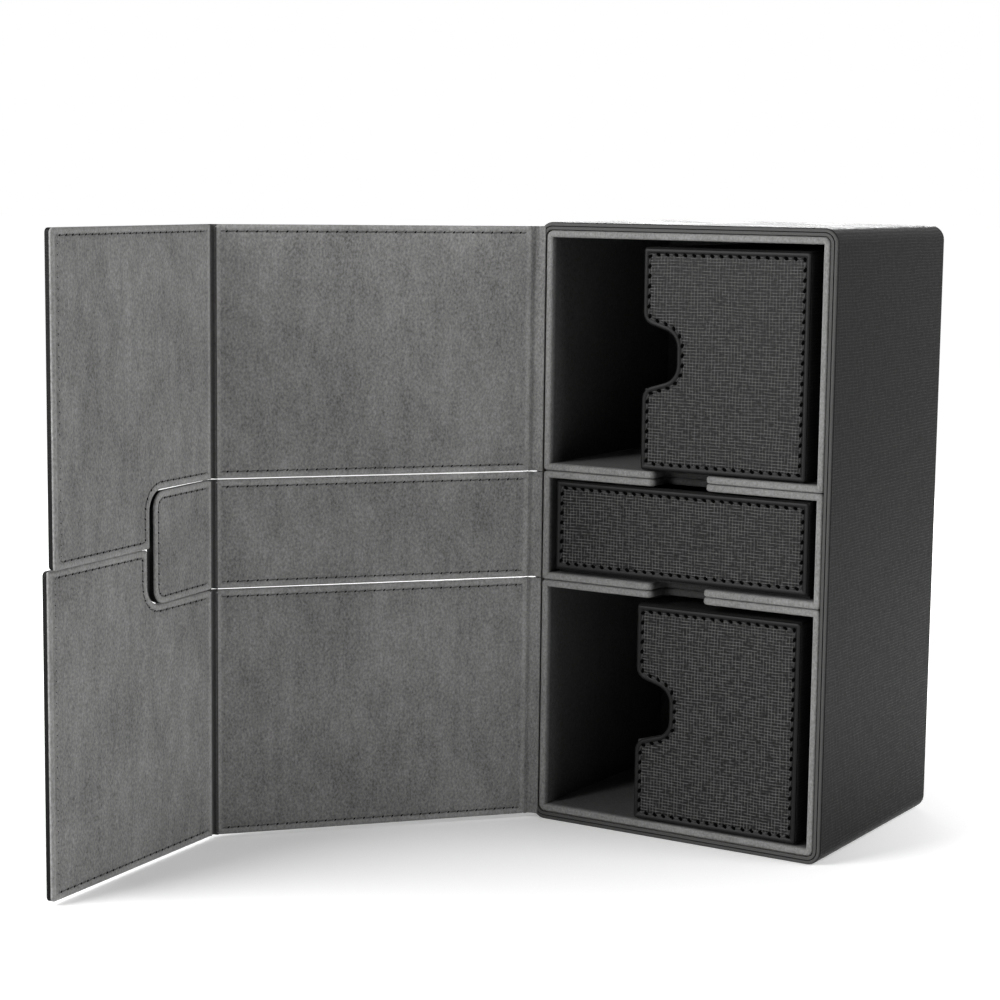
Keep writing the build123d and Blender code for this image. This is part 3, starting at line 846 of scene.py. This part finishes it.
# ------------------------------------------------------------------ hinge strips
def strip(name, points, low, high, thickness, material):
    """A strip of suede or leather bent along the points in plan, from one height to another."""
    curve = bpy.data.curves.new(name, "CURVE")
    curve.dimensions = "2D"
    curve.resolution_u = 6
    spline = curve.splines.new("NURBS")
    spline.points.add(len(points) - 1)
    for p, place in zip(spline.points, points):
        p.co = (place.x, place.y, 0, 1)
    spline.order_u = 3
    spline.use_endpoint_u = True
    curve.extrude = (high - low) / 2
    obj = bpy.data.objects.new(name, curve)
    scene.collection.objects.link(obj)
    obj.location = (0, 0, (low + high) / 2)
    take(obj)
    bpy.ops.object.convert(target="MESH")
    obj = bpy.context.object
    settle(obj)
    outward(obj)
    wall = obj.modifiers.new("wall", "SOLIDIFY")
    wall.thickness = thickness
    wall.offset = 0
    apply_modifiers(obj)
    outward(obj)
    take(obj)
    bpy.ops.object.shade_smooth_by_angle(angle=math.radians(50))
    return dress(obj, material)


def flat(place, x, n):
    """Point in plan from a distance off the fold line and an offset towards the leather."""
    return (place @ Vector((x * MM, 0, n * MM))).to_2d()


SUEDE_THICKNESS, LEATHER_THICKNESS = 0.4 * MM, 0.5 * MM
RIM_FRONT = -45.7  # mm, y of the suede in front of the box's rim
beyond = panel_span / MM  # spine to fold line

for level in LEVELS:
    node_low, node_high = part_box(f"lid_{level}_lining")
    z0, z1 = node_low.z, node_high.z
    there = flap_leaf[level]
    # suede from the box's rim over the groove onto the lid
    points = [in_mm(-52.95, RIM_FRONT), in_mm(-54.2, RIM_FRONT),
              in_mm(-55.3, RIM_FRONT), in_mm(-55.9, RIM_FRONT - 0.35),
              flat(lid_leaf, 0.1, 0.25), flat(lid_leaf, 0.9, 0.1),
              flat(lid_leaf, 1.3, -0.25), flat(lid_leaf, 1.9, -0.32)]
    inner = strip(f"spine_suede_{level}", points, z0, z1, SUEDE_THICKNESS, lid_suede)
    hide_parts(f"spine_hinge_{level}")
    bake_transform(inner)
    # leather over the outside of the same joint
    points = [in_mm(-55.45, -40.0), in_mm(-55.7, -42.6), in_mm(-55.8, -44.4), in_mm(-56.4, -45.5),
              flat(lid_leaf, 0.3, 1.4), flat(lid_leaf, 1.2, 1.8), flat(lid_leaf, 3.0, 1.95)]
    outer = strip(f"spine_leather_{level}", points, z0, z1, LEATHER_THICKNESS, cover_leather)
    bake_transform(outer)
    # suede in the valley between lid and flap, painted dark as painted shade in the fold
    points = [flat(lid_leaf, beyond - 1.9, -0.32), flat(lid_leaf, beyond - 1.3, -0.25),
              flat(lid_leaf, beyond - 0.8, 0.3), flat(lid_leaf, beyond, 0.55),
              flat(there, 0.6, 0.4), flat(there, 1.1, -0.2), flat(there, 1.7, -0.32)]
    inner = strip(f"fold_suede_painted_shade_{level}", points, z0, z1, SUEDE_THICKNESS, fold_suede_painted_shade)
    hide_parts(f"fold_hinge_{level}")
    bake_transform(inner)
    # leather over the outside of the fold
    points = [flat(lid_leaf, beyond - 2.4, 1.95), flat(lid_leaf, beyond - 1.3, 1.9),
              flat(lid_leaf, beyond - 0.3, 1.95),
              flat(there, 0.3, 1.95), flat(there, 1.2, 1.9), flat(there, 2.2, 1.95)]
    outer = strip(f"fold_leather_{level}", points, z0, z1, LEATHER_THICKNESS, cover_leather)
    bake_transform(outer)


# ------------------------------------------------------------------ floor, light and camera
SHADOW_CENTRE = (-0.06, -0.08, 0)  # under the box and its open lids
FLOOR_RADIUS = 12
LOOK_AT = Vector((0, 0, 0.1))


def white_sweep(name, colour, near_glow, near, far):
    """White floor that keeps the object's shadow and fades to plain white further away."""
    material = bpy.data.materials.new(name)
    material.use_nodes = True
    tree = material.node_tree
    shader = tree.nodes["Principled BSDF"]
    shader.inputs["Base Color"].default_value = (colour, colour, colour, 1)
    shader.inputs["Roughness"].default_value = 0.9
    shader.inputs["Specular IOR Level"].default_value = 0.0
    shader.inputs["Emission Color"].default_value = (1, 1, 1, 1)
    where = tree.nodes.new("ShaderNodeTexCoord").outputs["Object"]
    distance = tree.nodes.new("ShaderNodeVectorMath")
    distance.operation = "DISTANCE"
    distance.inputs[1].default_value = SHADOW_CENTRE
    tree.links.new(where, distance.inputs[0])
    glow = ramp_between(tree, distance.outputs["Value"], near, far, near_glow, 1.0)
    tree.links.new(calculate(tree, "MULTIPLY", shown_rays(tree), glow), shader.inputs["Emission Strength"])
    return material


def shown_rays(tree):
    """1 for what the camera sees, straight on or in gloss or glass, and 0 for what lights the object."""
    rays = tree.nodes.new("ShaderNodeLightPath")
    seen = calculate(tree, "MAXIMUM", rays.outputs["Is Camera Ray"], rays.outputs["Is Glossy Ray"])
    return calculate(tree, "MAXIMUM", seen, rays.outputs["Is Transmission Ray"])


drop_selection()
bpy.ops.mesh.primitive_circle_add(vertices=96, radius=FLOOR_RADIUS, fill_type="NGON", location=(0, 0, 0))
floor = settle(bpy.context.object)
floor.name = "floor"
floor.data.materials.append(white_sweep("white sweep", colour=0.85, near_glow=0.22, near=0.12, far=0.3))

world = scene.world or bpy.data.worlds.new("studio")
scene.world = world
world.use_nodes = True
tree = world.node_tree
sky = tree.nodes["Background"]
sky.inputs["Color"].default_value = (1, 1, 1, 1)
tree.links.new(ramp_between(tree, shown_rays(tree), 0, 1, 0.01, 1.0), sky.inputs["Strength"])


def softbox(name, heading, height, distance, size, level):
    """Area lamp that looks at the object. At level 1 it renders a white card that faces it there white."""
    lamp = bpy.data.lights.new(name, "AREA")
    lamp.shape = "RECTANGLE"
    lamp.size, lamp.size_y = size
    lamp.energy = level * math.pi**2 * distance**2
    obj = bpy.data.objects.new(name, lamp)
    scene.collection.objects.link(obj)
    heading, height = math.radians(heading), math.radians(height)
    level_part = math.cos(height)
    away = Vector((math.cos(heading) * level_part, math.sin(heading) * level_part, math.sin(height)))
    obj.location = LOOK_AT + away * distance
    obj.rotation_euler = (-away).to_track_quat("-Z", "Y").to_euler()
    return obj


softbox("softbox_left", -121, 21, 0.85, (0.45, 0.6), 1.25)
softbox("softbox_right", 2, 22, 0.6, (0.38, 0.4), 0.86)
softbox("softbox_side", 42, 34, 0.8, (0.45, 0.45), 0.15)
softbox("softbox_behind", 118, 12, 0.9, (0.5, 0.3), 0.35)

# The camera was fitted to the photograph together with the box's proportions
azimuth, elevation, roll = math.radians(31.91), math.radians(7.64), math.radians(0.70)
level_part = math.cos(elevation)
look = Vector((-math.sin(azimuth) * level_part, math.cos(azimuth) * level_part, -math.sin(elevation)))
camera = bpy.data.objects.new("camera", bpy.data.cameras.new("camera"))
scene.collection.objects.link(camera)
camera.data.lens = 85.93
camera.data.sensor_width = 36
camera.data.clip_start, camera.data.clip_end = 0.05, 20
camera.location = (0.368394, -0.749811, 0.223029)
camera.rotation_mode = "QUATERNION"
camera.rotation_quaternion = look.to_track_quat("-Z", "Y") @ Matrix.Rotation(roll, 3, "Z").to_quaternion()
scene.camera = camera
scene.view_settings.view_transform = "Standard"
